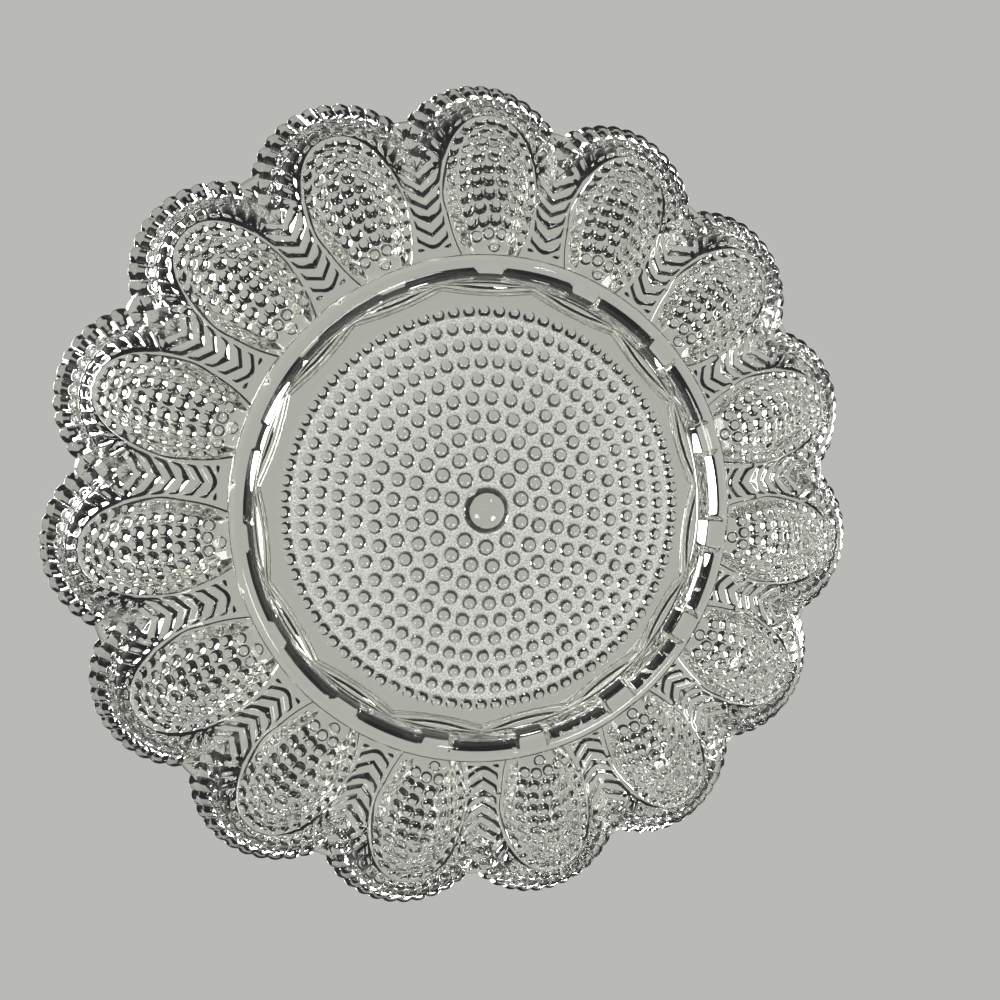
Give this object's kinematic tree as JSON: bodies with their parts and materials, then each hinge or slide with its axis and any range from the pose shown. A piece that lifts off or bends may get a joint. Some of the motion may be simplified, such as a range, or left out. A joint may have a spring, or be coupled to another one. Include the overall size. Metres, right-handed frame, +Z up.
{
  "type": "deviled egg platter",
  "caption": "Round pressed-glass platter with a ring of egg-shaped cups, fluted petal rim, hobnailed underside and a foot ring.",
  "frame": {"origin": "on the table, at the middle of the foot ring", "axes": "+Z up out of the serving side, +X through the middle of cup 01"},
  "size_m": [0.2779, 0.279, 0.029],
  "materials": {
    "pressed_glass": "clear soda-lime glass, pressed, fire polished, stippled on the underside of the centre"
  },
  "bodies": {
    "root": {"centre_floor": "pressed_glass", "centre_boss": "pressed_glass", "centre_hobnails": "pressed_glass", "foot_ring": "pressed_glass", "egg_cup_01": "pressed_glass", "egg_cup_02": "pressed_glass", "egg_cup_03": "pressed_glass", "egg_cup_04": "pressed_glass", "egg_cup_05": "pressed_glass", "egg_cup_06": "pressed_glass", "egg_cup_07": "pressed_glass", "egg_cup_08": "pressed_glass", "egg_cup_09": "pressed_glass", "egg_cup_10": "pressed_glass", "egg_cup_11": "pressed_glass", "egg_cup_12": "pressed_glass", "egg_cup_13": "pressed_glass", "egg_cup_14": "pressed_glass", "egg_cup_15": "pressed_glass", "fluted_rim_01": "pressed_glass", "fluted_rim_02": "pressed_glass", "fluted_rim_03": "pressed_glass", "fluted_rim_04": "pressed_glass", "fluted_rim_05": "pressed_glass", "fluted_rim_06": "pressed_glass", "fluted_rim_07": "pressed_glass", "fluted_rim_08": "pressed_glass", "fluted_rim_09": "pressed_glass", "fluted_rim_10": "pressed_glass", "fluted_rim_11": "pressed_glass", "fluted_rim_12": "pressed_glass", "fluted_rim_13": "pressed_glass", "fluted_rim_14": "pressed_glass", "fluted_rim_15": "pressed_glass", "cup_hobnails_01": "pressed_glass", "cup_hobnails_02": "pressed_glass", "cup_hobnails_03": "pressed_glass", "cup_hobnails_04": "pressed_glass", "cup_hobnails_05": "pressed_glass", "cup_hobnails_06": "pressed_glass", "cup_hobnails_07": "pressed_glass", "cup_hobnails_08": "pressed_glass", "cup_hobnails_09": "pressed_glass", "cup_hobnails_10": "pressed_glass", "cup_hobnails_11": "pressed_glass", "cup_hobnails_12": "pressed_glass", "cup_hobnails_13": "pressed_glass", "cup_hobnails_14": "pressed_glass", "cup_hobnails_15": "pressed_glass"}
  },
  "joints": []
}
